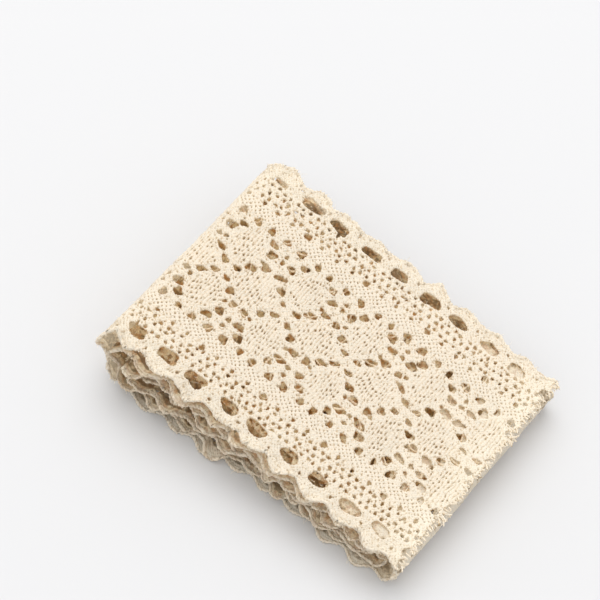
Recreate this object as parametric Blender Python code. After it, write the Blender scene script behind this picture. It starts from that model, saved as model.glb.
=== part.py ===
"""A length of ecru cotton lace trim, wound flat into a loose bundle.

The band has two scalloped edges, a row of beading slots inside each of them and a
trellis of solid diamonds down its middle. It is one piece of cloth, so it is one
solid: a flat pattern with its gaps cut out, carried along the folded centre line
and given the thickness of the lace.

Metres, +Z up. X runs along the bundle, Y across the band, and the bundle rests on
Z = 0 with its origin under the middle of its box.
"""
import math
from collections import namedtuple

import bmesh
import bpy
import numpy as np
from mathutils import Vector
from mathutils.geometry import delaunay_2d_cdt

MM = 0.001

# The lace laid out flat: s runs along it from the outer cut end, y across it
BEADING_PITCH = 12.5 * MM
REPEAT = 2.0 * BEADING_PITCH
FIRST_BEADING = 1.0 * BEADING_PITCH
FIRST_DIAMOND = 1.5 * BEADING_PITCH
HALF_WIDTH = 45.0 * MM
SCALLOP_DEPTH = 2.3 * MM
BEADING_LINE = 38.1 * MM
BEADING_SLOT = (7.8 * MM, 3.8 * MM)
TRELLIS_GAP = (4.6 * MM, 3.4 * MM)
TRELLIS_GAP_PLACE = (3.2 * MM, 9.4 * MM)
LACE_THICKNESS = 1.1 * MM

# No gap comes closer than this to a cut end
END_MARGIN = 1.5 * MM

# The cut ends are uneven by this much, in steps of about this width
CUT_JAG = 0.5 * MM
CUT_STEP = 9.0 * MM
CUT_TURN_PER_STEP = 2.4

# How the band lies. Runs are listed from the outer cut end, on top at the right, to
# the inner end. Level is the run's place in the pile, 0 being the lowest. The run
# goes from start_x to end_x and is pushed across the pile by start_y to end_y.
# Reach is how far the turn after the run bulges past the two run ends it joins.
Run = namedtuple("Run", "level start_x end_x start_y end_y reach")
RUNS = (
    Run(level=6, start_x=60.8, end_x=-55.0, start_y=0.0, end_y=0.0, reach=9.2),
    Run(level=0, start_x=-43.5, end_x=51.5, start_y=-1.8, end_y=-0.2, reach=8.6),
    Run(level=5, start_x=51.5, end_x=-50.0, start_y=1.0, end_y=-0.6, reach=6.4),
    Run(level=1, start_x=-44.5, end_x=49.0, start_y=-1.5, end_y=0.8, reach=5.6),
    Run(level=4, start_x=49.0, end_x=-48.2, start_y=1.8, end_y=-0.4, reach=4.2),
    Run(level=2, start_x=-44.0, end_x=46.5, start_y=-1.2, end_y=1.3, reach=2.8),
    Run(level=3, start_x=46.5, end_x=-45.8, start_y=0.7, end_y=1.2, reach=0.0),
)
LEVEL_PITCH = 3.4 * MM

# The pile stands higher at its loose left end than at its right end, and the turns
# inside the outermost one sag there by this share of their height
LEFT_END_LIFT = 0.28
BUNDLE_HALF_LENGTH = 60.0 * MM
INNER_SAG = 0.18
SAG_START = -34.0 * MM
SAG_LENGTH = 14.0 * MM

# Slow swells of the layers, and the limp edges that droop in scallops
SWELL_HEIGHT = 0.45 * MM
SWELL_LENGTH = 148.0 * MM
SWELL_BREADTH = 114.0 * MM
SWELL_START = (1.1, -0.4)
EDGE_DROOP = 0.9 * MM
DROOP_WIDTH = 9.0 * MM
EDGE_RIPPLE = 0.35 * MM

# How finely the shape is cut into facets
STRAIGHT_STEP = BEADING_PITCH
TURN_STEP = 2.4 * MM
FEWEST_TURN_STEPS = 5
COLUMNS_TO_BEADING = 3
CLEAR_OF_GAPS = 1.0 * MM
CURVE_POINTS = 48
MERGE_DISTANCE = 0.0001 * MM

# Points to a scallop and sides to a gap, first on the runs and then in the turns
SCALLOP_STEPS = (4, 6)
SLOT_SIDES = (6, 10)
GAP_SIDES = (4, 8)

LACE_COLOR = (0.87, 0.78, 0.63, 1.0)
LACE_ROUGHNESS = 0.92


def remove_scene_objects():
    """Start from an empty scene."""
    for old in list(bpy.data.objects):
        bpy.data.objects.remove(old, do_unlink=True)


def run_height(run):
    """Height of a run's middle surface above the lowest run's."""
    return run.level * LEVEL_PITCH


def centre_line():
    """Follow the runs and turns: arrays of s, x, height and sideways push, and the turns' spans."""
    points = []
    turns = []
    for place, run in enumerate(RUNS):
        height = run_height(run)
        points.append((run.start_x * MM, height, run.start_y * MM))
        points.append((run.end_x * MM, height, run.end_y * MM))
        if place + 1 == len(RUNS):
            break
        after = RUNS[place + 1]
        outward = math.copysign(run.reach * MM, run.end_x)
        turns.append((len(points) - 1, len(points) + CURVE_POINTS - 1))
        for step in range(1, CURVE_POINTS):
            angle = math.pi * step / CURVE_POINTS
            part = (1.0 - math.cos(angle)) / 2.0
            x = run.end_x * MM + part * (after.start_x - run.end_x) * MM + outward * math.sin(angle)
            z = height + part * (run_height(after) - height)
            push = run.end_y * MM + part * (after.start_y - run.end_y) * MM
            points.append((x, z, push))
    line = np.array(points)
    steps = np.hypot(np.diff(line[:, 0]), np.diff(line[:, 1]))
    along = np.concatenate([[0.0], np.cumsum(steps)])
    spans = [(along[first], along[last]) for first, last in turns]
    return along, line, spans


ALONG, LINE, TURN_SPANS = centre_line()
FLAT_LENGTH = ALONG[-1]

# From here on the band lies inside its outermost turns
INNER_START = TURN_SPANS[1][1]


def in_turn(s):
    """Whether a place along the lace lies in a turn."""
    return any(first - TURN_STEP < s < last + TURN_STEP for first, last in TURN_SPANS)


def half_width_at(s):
    """Half the width at s, widest beside each beading slot."""
    wave = math.sin(math.pi * (s - FIRST_BEADING) / BEADING_PITCH) ** 2
    return HALF_WIDTH - SCALLOP_DEPTH * wave


def edge_places():
    """Places along the edges, closer together in the turns."""
    count = int(FLAT_LENGTH / BEADING_PITCH)
    places = []
    for lobe in range(count + 1):
        start = lobe * BEADING_PITCH
        steps = SCALLOP_STEPS[in_turn(start + BEADING_PITCH / 2.0)]
        places += [start + BEADING_PITCH * step / steps for step in range(steps)]
    inside = [s for s in places if END_MARGIN < s < FLAT_LENGTH - END_MARGIN]
    return [0.0] + inside + [FLAT_LENGTH]


def outline():
    """The lace's outer outline, both scalloped edges and both cut ends."""
    places = edge_places()
    near = [(s, -half_width_at(s)) for s in places]
    far = [(s, half_width_at(s)) for s in reversed(places)]
    return near + cut_end(FLAT_LENGTH, upward=True) + far + cut_end(0.0, upward=False)


def cut_end(s, upward):
    """Points of an uneven cut from edge to edge."""
    reach = half_width_at(s)
    count = int(2.0 * reach / CUT_STEP)
    points = []
    for step in range(1, count):
        y = -reach + 2.0 * reach * step / count
        inward = CUT_JAG * (1.0 + math.sin(CUT_TURN_PER_STEP * step)) * (-1.0 if upward else 1.0)
        points.append((s + inward, y))
    return points if upward else points[::-1]


def oval(s, y, size, sides):
    """A pointed oval gap of the given number of sides."""
    points = []
    for corner in range(sides):
        angle = 2.0 * math.pi * corner / sides
        points.append((s + size[0] / 2.0 * math.cos(angle), y + size[1] / 2.0 * math.sin(angle)))
    return points


def gaps():
    """Every gap that is cut through: the beading slots and the largest gaps of the trellis."""
    found = []
    margin = BEADING_SLOT[0] / 2.0 + END_MARGIN
    s = FIRST_BEADING
    while s < FLAT_LENGTH - margin:
        sides = SLOT_SIDES[in_turn(s)]
        found += [oval(s, side * BEADING_LINE, BEADING_SLOT, sides) for side in (-1.0, 1.0)]
        s += BEADING_PITCH
    s = FIRST_DIAMOND
    while s < FLAT_LENGTH - margin:
        sides = GAP_SIDES[in_turn(s)]
        for along in (-1.0, 1.0):
            place = s + along * TRELLIS_GAP_PLACE[0]
            found += [oval(place, side * TRELLIS_GAP_PLACE[1], TRELLIS_GAP, sides) for side in (-1.0, 1.0)]
        s += REPEAT
    return found


def inner_places():
    """Places of the rows of facets between the gaps, close together in the turns."""
    places = []
    s = BEADING_PITCH / 2.0
    while s < FLAT_LENGTH - BEADING_PITCH / 4.0:
        if not in_turn(s):
            places.append(s)
        s += STRAIGHT_STEP
    for first, last in TURN_SPANS:
        count = max(FEWEST_TURN_STEPS, round((last - first) / TURN_STEP))
        places += [first + (last - first) * step / count for step in range(count + 1)]
    return sorted(places)


def inner_points(holes):
    """Points that carry the folds, away from the gaps and the edges."""
    centres = np.array([np.mean(hole, axis=0) for hole in holes])
    sizes = np.array([np.ptp(hole, axis=0) for hole in holes]) / 2.0 + CLEAR_OF_GAPS
    points = []
    for s in inner_places():
        for column in range(-COLUMNS_TO_BEADING, COLUMNS_TO_BEADING + 1):
            y = BEADING_LINE * column / COLUMNS_TO_BEADING
            nearness = np.hypot(*((np.array((s, y)) - centres) / sizes).T)
            if nearness.min() > 1.0:
                points.append((s, y))
    return points


def flat_pattern():
    """The flat lace as points and triangles, its gaps left out."""
    holes = gaps()
    loops = [outline()] + holes
    points = []
    edges = []
    for loop in loops:
        first = len(points)
        points += loop
        edges += [(first + step, first + (step + 1) % len(loop)) for step in range(len(loop))]
    owner = np.repeat(np.arange(len(loops)), [len(loop) for loop in loops])
    points += inner_points(holes)
    owner = np.concatenate([owner, np.zeros(len(points) - len(owner), dtype=int)])
    flat, _, faces, sources, _, _ = delaunay_2d_cdt(
        [Vector(point) for point in points], edges, [], 1, MERGE_DISTANCE)
    owners = [max(owner[source] for source in origin) for origin in sources]
    kept = []
    for face in faces:
        belongs = {owners[corner] for corner in face}
        if len(belongs) > 1 or belongs == {0}:
            kept.append(face)
    return flat, kept


def smooth_step(value):
    """Rise softly from 0 to 1 as value does."""
    value = min(1.0, max(0.0, value))
    return value * value * (3.0 - 2.0 * value)


def direction_at(s):
    """The centre line's direction in X and Z at s."""
    reach = LACE_THICKNESS / 4.0
    before = [np.interp(s - reach, ALONG, LINE[:, column]) for column in (0, 1)]
    ahead = [np.interp(s + reach, ALONG, LINE[:, column]) for column in (0, 1)]
    step = np.array(ahead) - np.array(before)
    return step / np.linalg.norm(step)


def lift(x, y, height):
    """Raise a place of the pile: its loose left end, its swells and its drooping edges."""
    risen = height * (1.0 - LEFT_END_LIFT * x / BUNDLE_HALF_LENGTH)
    share = smooth_step(height / (2.0 * LEVEL_PITCH))
    swell = math.sin(2.0 * math.pi * x / SWELL_LENGTH + SWELL_START[0])
    swell *= math.cos(2.0 * math.pi * y / SWELL_BREADTH + SWELL_START[1])
    droop = smooth_step((abs(y) - HALF_WIDTH + DROOP_WIDTH) / DROOP_WIDTH)
    return risen + share * (SWELL_HEIGHT * swell - EDGE_DROOP * droop)


def place_on_folds(s, y):
    """Carry a point of the flat lace to its place in the folded bundle."""
    x, height, push = (np.interp(s, ALONG, LINE[:, column]) for column in range(3))
    dx, dz = direction_at(s)
    if s > INNER_START:
        height *= 1.0 - INNER_SAG * smooth_step((SAG_START - x) / SAG_LENGTH)
    share = smooth_step(height / LEVEL_PITCH)
    at_edge = smooth_step((abs(y) - HALF_WIDTH + DROOP_WIDTH) / DROOP_WIDTH)
    ripple = share * at_edge * EDGE_RIPPLE * math.cos(2.0 * math.pi * (s - FIRST_BEADING) / BEADING_PITCH)
    x += ripple * dz
    height -= ripple * abs(dx)
    return Vector((x, y + push, LACE_THICKNESS / 2.0 + lift(x, y, height)))


def lace_material():
    """Unbleached cotton."""
    material = bpy.data.materials.new("ecru_cotton")
    material.use_nodes = True
    shader = material.node_tree.nodes["Principled BSDF"]
    shader.inputs["Base Color"].default_value = LACE_COLOR
    shader.inputs["Roughness"].default_value = LACE_ROUGHNESS
    shader.inputs["Metallic"].default_value = 0.0
    return material


def build_lace():
    """The whole band as one sheet on its folds, thickened to the lace's own thickness."""
    flat, faces = flat_pattern()
    shape = bmesh.new()
    corners = [shape.verts.new(place_on_folds(point.x, point.y)) for point in flat]
    for face in faces:
        shape.faces.new([corners[corner] for corner in face])
    loose = [corner for corner in shape.verts if not corner.link_faces]
    bmesh.ops.delete(shape, geom=loose, context="VERTS")
    mesh = bpy.data.meshes.new("lace_trim")
    shape.to_mesh(mesh)
    shape.free()
    mesh.materials.append(lace_material())
    lace = bpy.data.objects.new("lace_trim", mesh)
    bpy.context.collection.objects.link(lace)
    thicken = lace.modifiers.new("lace thickness", "SOLIDIFY")
    thicken.thickness = LACE_THICKNESS
    thicken.offset = 0.0
    return lace


def main():
    remove_scene_objects()
    build_lace()


main()
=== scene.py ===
import math
from collections import namedtuple

import bpy
import numpy as np
from mathutils import Matrix, Vector


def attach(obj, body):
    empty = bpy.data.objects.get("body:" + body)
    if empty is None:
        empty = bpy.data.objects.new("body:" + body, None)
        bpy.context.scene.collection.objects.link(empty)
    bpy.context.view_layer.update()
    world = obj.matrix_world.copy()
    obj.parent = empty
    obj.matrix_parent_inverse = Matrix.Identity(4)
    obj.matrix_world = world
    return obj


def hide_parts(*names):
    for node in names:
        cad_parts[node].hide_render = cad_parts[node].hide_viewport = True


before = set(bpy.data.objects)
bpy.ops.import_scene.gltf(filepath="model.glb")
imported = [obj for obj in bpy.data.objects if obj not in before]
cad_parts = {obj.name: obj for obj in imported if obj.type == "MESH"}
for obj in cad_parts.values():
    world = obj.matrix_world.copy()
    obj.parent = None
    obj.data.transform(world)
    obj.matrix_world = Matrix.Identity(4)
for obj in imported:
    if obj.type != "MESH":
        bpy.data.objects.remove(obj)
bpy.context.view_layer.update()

# The looks of a length of ecru cotton lace trim, wound flat into a loose bundle.
# The lace is drawn flat, s along it and y across it, and carried onto the same folds
# as the solid that it replaces. Lengths are in metres unless a name says pitches.

MM = 0.001

# The lace laid out flat
BEADING_PITCH = 12.5 * MM
REPEAT = 2.0 * BEADING_PITCH
FIRST_BEADING = 1.0 * BEADING_PITCH
FIRST_DIAMOND = 1.5 * BEADING_PITCH
HALF_WIDTH = 45.0 * MM
SCALLOP_DEPTH = 2.3 * MM
LACE_THICKNESS = 1.1 * MM

# How the band lies: runs from the outer cut end, on top at the right, to the inner end
Run = namedtuple("Run", "level start_x end_x start_y end_y reach")
RUNS = (
    Run(6, 60.8, -55.0, 0.0, 0.0, 9.2),
    Run(0, -43.5, 51.5, -1.8, -0.2, 8.6),
    Run(5, 51.5, -50.0, 1.0, -0.6, 6.4),
    Run(1, -44.5, 49.0, -1.5, 0.8, 5.6),
    Run(4, 49.0, -48.2, 1.8, -0.4, 4.2),
    Run(2, -44.0, 46.5, -1.2, 1.3, 2.8),
    Run(3, 46.5, -45.8, 0.7, 1.2, 0.0),
)
LEVEL_PITCH = 3.4 * MM
LEFT_END_LIFT = 0.28
BUNDLE_HALF_LENGTH = 60.0 * MM
INNER_SAG = 0.18
SAG_START = -34.0 * MM
SAG_LENGTH = 14.0 * MM
SWELL_HEIGHT = 0.45 * MM
SWELL_LENGTH = 148.0 * MM
SWELL_BREADTH = 114.0 * MM
SWELL_START = (1.1, -0.4)
EDGE_DROOP = 0.9 * MM
DROOP_WIDTH = 9.0 * MM
EDGE_RIPPLE = 0.35 * MM
CURVE_POINTS = 48

# Unevenness that only the looks have: each scallop hangs and reaches out by its own
# amount, more so under the top run, the band wanders, and the cloth puckers
LOBE_DROOP = (0.85 * MM, 1.3 * MM)
LOBE_SHIFT = (0.70 * MM, 1.25 * MM)
LOBE_STRAY = (0.0, 2.6 * MM)
LOBE_STRAY_LENGTH = 17.0 * MM
WANDER = (0.30 * MM, 0.95 * MM)
WANDER_LENGTH = 16.0 * MM
PUCKER = 0.26 * MM
PUCKER_LENGTH = 9.0 * MM
CRUMPLE = 0.80 * MM
CRUMPLE_LENGTH = 2.3 * MM
HANG_MEAN = 0.15
HANG_LIMITS = (-0.7, 1.2)
LOBE_SPREAD = 0.6

# Rows of noise this far apart make the two edges differ
EDGE_ROW = 9.0 * MM

# Each layer of noise and each set of random draws has its own seed, counted on from this one
SEED = 41
NOISE_CELLS = 64
Wave = namedtuple("Wave", "share size seed")

# One scallop of a low run has slipped out at the near side
SLIPPED_RUN = 3
SLIPPED_X = -12.5 * MM
SLIPPED_OUT = 2.2 * MM
SLIPPED_DOWN = 1.5 * MM
SLIPPED_REACH = 0.75 * BEADING_PITCH

# The second left turn lies close inside the outer one
NEST_OUT = 3.4 * MM
NEST_LEAD = 11.0 * MM
NEST_RELEASE = 0.7

# The second run lies closer under the top one at the right end
CLOSE_UP = 1.5 * MM
CLOSE_LEAD = 9.0 * MM
CLOSE_LENGTH = 48.0 * MM

# The low runs are tucked in at the near side, right of the middle
TUCKED_X = 9.0 * MM
TUCKED_LENGTH = 17.0 * MM
TUCKED_IN = 1.9 * MM

# The stretch that counts as the top one ends this far into the outer turn, and the runs
# below the innermost one's level face the other way
TOP_PAST_TURN = 15.0 * MM
INNERMOST_LEVEL = 3
FLIP_LENGTH = 6.0 * MM

# One repeat of the lace, charted for a quarter and mirrored both ways. Along is counted
# from a middle diamond and across from the band's middle, both in beading pitches. The
# gap's length and width are in millimetres, and its tilt in degrees.
Gap = namedtuple("Gap", "along across length width tilt roundness")
CHART = (
    Gap(0.46, 3.06, 7.4, 3.9, 0.0, 2.7),
    Gap(0.00, 3.24, 0.8, 0.8, 0.0, 2.0),
    Gap(1.00, 3.24, 0.8, 0.8, 0.0, 2.0),
    Gap(0.00, 2.23, 2.2, 2.0, 0.0, 1.8),
    Gap(0.50, 2.22, 1.2, 1.3, 0.0, 1.9),
    Gap(1.00, 2.22, 1.3, 1.4, 0.0, 1.9),
    Gap(0.25, 1.69, 2.8, 2.6, 35.0, 1.9),
    Gap(0.79, 1.69, 2.2, 2.5, 0.0, 1.9),
    Gap(0.00, 1.38, 1.5, 1.3, 0.0, 1.8),
    Gap(0.00, 1.14, 1.6, 1.6, 0.0, 1.8),
    Gap(0.53, 1.40, 3.3, 2.5, 18.0, 2.0),
    Gap(0.32, 1.13, 3.8, 2.4, -4.0, 2.1),
    Gap(0.21, 0.70, 3.1, 2.3, 10.0, 2.0),
    Gap(0.40, 0.77, 1.5, 1.2, 30.0, 2.0),
    Gap(0.51, 0.45, 3.5, 2.3, -16.0, 1.9),
    Gap(0.79, 0.20, 3.0, 1.6, -14.0, 1.9),
)

# The net between trellis and beading: rows of small gaps, every other row half a step on
NET_ROWS = (2.40, 2.60, 2.80)
NET_PER_REPEAT = 9
NET_STEP = REPEAT / NET_PER_REPEAT
NET_GAP = Gap(0.0, 0.0, 1.02, 1.08, 0.0, 2.0)
NET_STRAY = 1.35

# How far each gap may stray from the chart, and how far its rim departs from an oval,
# as shares of its radius for waves of two, three and four to the round
STRAY = 0.22 * MM
STRAY_SIZE = 0.22
STRAY_TILT = 12.0
RIM_WAVES = (0.09, 0.12, 0.08)

# Gaps longer than this, in millimetres, are beading slots, and keep closer to the chart
SLOT_LENGTH = 7.0
SLOT_STEADY = 0.65
SLOT_TILT = 0.6

# Gaps close up where the lace bends sharply: at the start of the outer turn, less at the
# near side there, and most in its lower part. The far slot just before that turn is pulled
# narrower than it is short, and a little inward. The slots on both sides of the second
# run's start, under the top run's last two, are pulled shut.
TURN_SHRINK = (0.55, 0.30)
TURN_NEAR = 0.80
TURN_LOWER = 0.25
LAST_SLOT = (0.70, 0.42)
LAST_SLOT_SHIFT = 0.5 * MM
CLOSED_SLOTS = 24.0 * MM

# The solid leaves of the trellis, in pitches: half length and half height of each diamond
MIDDLE_LEAF = (0.70, 0.64)
OUTER_LEAF = (0.52, 0.68)
OUTER_LEAF_ACROSS = 0.95
LEAF_EDGE = (5.0, 0.6)
RIB_PITCH = BEADING_PITCH / 11.0
RIB_SHARPNESS = 0.8
WEFT_PITCH = 1.9 * MM
OVER_UNDER = 0.22

# Slits between the ribs of the leaves, in rows that start at random from furrow to furrow
PINHOLE_LENGTH = 2.3 * MM
PINHOLE_RADII = (0.26 * MM, 0.38 * MM)
PINHOLE_ROWS = 256
PINHOLE_STRAY = Wave(0.22, 3.4 * MM, 21)
PINHOLE_MEAN = 0.95
PINHOLE_PATCHES = Wave(2.2, 1.2 * MM, 16)
PINHOLE_DEPTH = 1.2

# The other regions: the ground round the leaves, the basket strip beside the trellis, and
# the border, with its stitches coarser under the top run
HALF_STITCH = 1.15 * MM
HALF_STITCH_SLANT = 0.85
PIT_SPACING = 1.22 * MM
PIT_RADIUS = 0.34 * MM
STRIP = (1.84, 2.12)
STRIP_LAP = 0.02
STRIP_EDGE = 16.0
STRIP_WEAVE = (BEADING_PITCH / 6.5, 1.7 * MM)
STRIP_HOLES = 1.7
BORDER_STARTS = 2.93
BORDER_EDGE = 12.0
BORDER_STITCH = 1.15 * MM
BORDER_COARSER = 1.4
BORDER_SLANT = 0.75
UNDER_THREAD = 0.75

# Threads that follow the scallops: their spacing and waver, how far in they show, and how
# much they show on the top run and under it
EDGE_LINE = 1.05 * MM
EDGE_LINE_STRAY = Wave(0.35, 2.2 * MM, 27)
EDGE_LINES_END = 2.6 * MM
EDGE_LINES = (0.35, 0.95)

# How each region's relief is made up: a base, its ridges, and scattered pits taken out
Relief = namedtuple("Relief", "base ridges pits")
LEAF_RELIEF = Relief(base=0.10, ridges=0.92, pits=0.7)
STITCH_RELIEF = Relief(base=0.10, ridges=0.90, pits=1.7)
STRIP_RELIEF = Relief(base=0.70, ridges=0.30, pits=0.5)
BORDER_RELIEF = Relief(base=-0.10, ridges=1.10, pits=1.2)

# Relief of the threads over the lace's middle surface
RIM = -0.48 * MM
CROWN = 0.34 * MM
ROUND_OVER = 0.50 * MM
THREAD_RELIEF = 0.32 * MM
FUZZ_RELIEF = 0.08 * MM
THREAD_LEVEL = 0.6
FUZZ_WAVES = (Wave(0.6, 0.8 * MM, 5), Wave(0.4, 0.4 * MM, 6))
WARP_ALONG = (Wave(0.38 * MM, 2.6 * MM, 7), Wave(0.152 * MM, 0.78 * MM, 8))
WARP_ACROSS = (Wave(0.38 * MM, 2.6 * MM, 9), Wave(0.152 * MM, 0.78 * MM, 10))

# Painted shade: how much lighter the lace is painted away from its rims, on its ridges and where it is
# fuzzy, so that its rims, furrows and pits are painted darker
DOME_PAINTED_LIGHT = 0.75
RIDGE_PAINTED_LIGHT = 0.45
FUZZ_PAINTED_LIGHT = 0.08

# How far in the two cut ends are uneven
CUT_JAG = 0.55 * MM
CUT_MEAN = 1.6
CUT_WAVES = (
    Wave(1.0, 2.0 * MM, 3),
    Wave(0.7, 0.8 * MM, 4),
    Wave(1.1, 9.0 * MM, 26),
)

# Painted shade under cover: the warm, dark tint painted where the runs above cover the lace starts at this
# share and is full this far along, since light reaches in at the right end. It ends this far from the edge,
# and leaves these shares at the edge and on the slipped scallop.
COVER_SHADE_START = (0.44, 42.0 * MM)
COVER_SHADE_ENDS = 2.4 * MM
COVER_SHADE_AT_EDGE = 0.10
COVER_SHADE_SLIPPED = 0.2

# The runs under the top one: painted shade in crevices, dark from here to there in from the edge with a soft
# rise and fall, how dark that painted shade is, mottling, and painted light, how much lighter the left and
# right ends are
PaintedCreviceShade = namedtuple("PaintedCreviceShade", "starts rise ends fall")
CREVICE_PAINTED_SHADE = PaintedCreviceShade(starts=1.6 * MM, rise=1.2 * MM, ends=4.6 * MM, fall=3.0 * MM)
CREVICE_PAINTED_SHADE_DEPTH = 0.85
WALL_MOTTLE = 0.42
MOTTLE_WAVES = (Wave(1.0, 0.9 * MM, 22), Wave(0.6, 2.6 * MM, 23))
WALL_PAINTED_LIGHT = (0.18, 0.50)


def centre_line():
    """Follow the runs and turns: s, then x, height and push at it, and where each run starts and ends."""
    points = []
    spans = []
    for place, run in enumerate(RUNS):
        height = run.level * LEVEL_PITCH
        spans.append((len(points), len(points) + 1))
        points.append((run.start_x * MM, height, run.start_y * MM))
        points.append((run.end_x * MM, height, run.end_y * MM))
        if place + 1 == len(RUNS):
            break
        after = RUNS[place + 1]
        outward = math.copysign(run.reach * MM, run.end_x)
        for step in range(1, CURVE_POINTS):
            angle = math.pi * step / CURVE_POINTS
            part = (1.0 - math.cos(angle)) / 2.0
            x = run.end_x * MM + part * (after.start_x - run.end_x) * MM + outward * math.sin(angle)
            z = height + part * (after.level * LEVEL_PITCH - height)
            push = run.end_y * MM + part * (after.start_y - run.end_y) * MM
            points.append((x, z, push))
    line = np.array(points)
    steps = np.hypot(np.diff(line[:, 0]), np.diff(line[:, 1]))
    along = np.concatenate([[0.0], np.cumsum(steps)])
    return along, line, along[np.array(spans)]


ALONG, LINE, RUN_SPANS = centre_line()
FLAT_LENGTH = ALONG[-1]
INNER_START = RUN_SPANS[2][0]
TOP_END = RUN_SPANS[0][1] + TOP_PAST_TURN
LOBES = int(FLAT_LENGTH / BEADING_PITCH) + 2
lobe_chance = np.random.default_rng(SEED)
LOBE_HANG = np.clip(lobe_chance.normal(HANG_MEAN, LOBE_SPREAD, (LOBES, 2)), *HANG_LIMITS)
LOBE_WIDTH = lobe_chance.normal(0.0, LOBE_SPREAD, (LOBES, 2))
PINHOLE_STARTS = lobe_chance.uniform(0.0, 1.0, PINHOLE_ROWS)


def smooth_step(value):
    """Rise softly from 0 to 1 as value does."""
    value = np.clip(value, 0.0, 1.0)
    return value * value * (3.0 - 2.0 * value)


def noise(s, y, size, seed):
    """Soft noise from -1 to 1 on the flat lace, with cells of the given size."""
    table = np.random.default_rng(seed).random((NOISE_CELLS, NOISE_CELLS)) * 2.0 - 1.0
    column, row = s / size, y / size
    left, low = np.floor(column).astype(int), np.floor(row).astype(int)
    across, up = smooth_step(column - left), smooth_step(row - low)
    corner = [[table[(left + i) % NOISE_CELLS, (low + j) % NOISE_CELLS] for j in (0, 1)] for i in (0, 1)]
    near = corner[0][0] * (1.0 - across) + corner[1][0] * across
    far = corner[0][1] * (1.0 - across) + corner[1][1] * across
    return near * (1.0 - up) + far * up


def waves(s, y, layers):
    """Noise in several sizes, each with its own share and seed."""
    return sum(layer.share * noise(s, y, layer.size, SEED + layer.seed) for layer in layers)


def pits(s, y, spacing, radius, seed):
    """Scattered pits, one to a cell of the given spacing: up to 1 in the middle of each, 0 between."""
    table = np.random.default_rng(seed).random((NOISE_CELLS, NOISE_CELLS, 3))
    column, row = s / spacing, y / spacing
    deepest = np.zeros_like(s)
    for i in (-1, 0, 1):
        for j in (-1, 0, 1):
            left, low = np.floor(column).astype(int) + i, np.floor(row).astype(int) + j
            own = table[left % NOISE_CELLS, low % NOISE_CELLS]
            away = np.hypot(column - left - own[..., 0], row - low - own[..., 1]) * spacing / radius
            deepest = np.maximum(deepest, own[..., 2] * np.exp(-away ** 2))
    return deepest


def lobe_values(table, s, y):
    """A scallop's own value in table, fading to nothing at the valleys beside it."""
    place = (s - FIRST_BEADING) / BEADING_PITCH
    lobe = np.clip(np.round(place).astype(int), 0, LOBES - 1)
    fade = 0.5 + 0.5 * np.cos(2.0 * math.pi * place)
    return fade * table[lobe, (y > 0.0).astype(int)]


def looseness(s, pair):
    """The first of two values along the top run, and the second on the runs under it."""
    return pair[0] + (pair[1] - pair[0]) * smooth_step((s - RUN_SPANS[0][1]) / (2.0 * FLIP_LENGTH))


def half_width_at(s, y):
    """Half the width at s, widest beside each beading slot."""
    row = np.sign(y) * LOBE_STRAY_LENGTH
    stray = looseness(s, LOBE_STRAY) * noise(s, row, LOBE_STRAY_LENGTH, SEED + 28)
    wave = np.sin(math.pi * (s + stray - FIRST_BEADING) / BEADING_PITCH) ** 2
    plain = HALF_WIDTH - SCALLOP_DEPTH * wave
    return plain + looseness(s, LOBE_SHIFT) * lobe_values(LOBE_WIDTH, s, y)


def lift(x, y, height):
    """Raise a place of the pile: its loose left end, its swells and its drooping edges."""
    risen = height * (1.0 - LEFT_END_LIFT * x / BUNDLE_HALF_LENGTH)
    share = smooth_step(height / (2.0 * LEVEL_PITCH))
    swell = np.sin(2.0 * math.pi * x / SWELL_LENGTH + SWELL_START[0])
    swell = swell * np.cos(2.0 * math.pi * y / SWELL_BREADTH + SWELL_START[1])
    droop = smooth_step((np.abs(y) - HALF_WIDTH + DROOP_WIDTH) / DROOP_WIDTH)
    return risen + share * (SWELL_HEIGHT * swell - EDGE_DROOP * droop)


def upper_side(s):
    """1 where the worked side faces out of the winding, and -1 along the low runs, where it faces in."""
    side = np.ones_like(s)
    for run, (start, end) in zip(RUNS, RUN_SPANS):
        if run.level < INNERMOST_LEVEL:
            turned = smooth_step((s - start) / FLIP_LENGTH) * smooth_step((end - s) / FLIP_LENGTH)
            side = side - 2.0 * turned
    return side


def near_edge(y):
    """From 0 to 1 over a broad strip towards the near edge."""
    return smooth_step((-y - HALF_WIDTH + 2.0 * DROOP_WIDTH) / (2.0 * DROOP_WIDTH))


def slipped(s, y):
    """How far, from 0 to 1, a place belongs to the scallop that has slipped out."""
    start = RUN_SPANS[SLIPPED_RUN][0] + SLIPPED_X - RUNS[SLIPPED_RUN].start_x * MM
    lobe = FIRST_BEADING + round((start - FIRST_BEADING) / BEADING_PITCH) * BEADING_PITCH
    return (1.0 - smooth_step(np.abs(s - lobe) / SLIPPED_REACH)) * near_edge(y)


def nested(s):
    """How far the second left turn reaches out towards the outer one."""
    start, end = RUN_SPANS[2][1] - NEST_LEAD, RUN_SPANS[3][0]
    lead = smooth_step((s - start) / NEST_LEAD)
    return NEST_OUT * lead * smooth_step((end - s) / (NEST_RELEASE * (end - start)))


def closer(s):
    """How far the second run is raised towards the top one."""
    rise = smooth_step((s - INNER_START + CLOSE_LEAD) / CLOSE_LEAD)
    return CLOSE_UP * rise * (1.0 - smooth_step((s - INNER_START) / CLOSE_LENGTH))


def tucked(x, y, height):
    """How far the near edges of the low runs stay back."""
    low = 1.0 - smooth_step(height / (4.0 * LEVEL_PITCH))
    return TUCKED_IN * low * near_edge(y) * np.exp(-((x - TUCKED_X) / TUCKED_LENGTH) ** 2)


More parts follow.
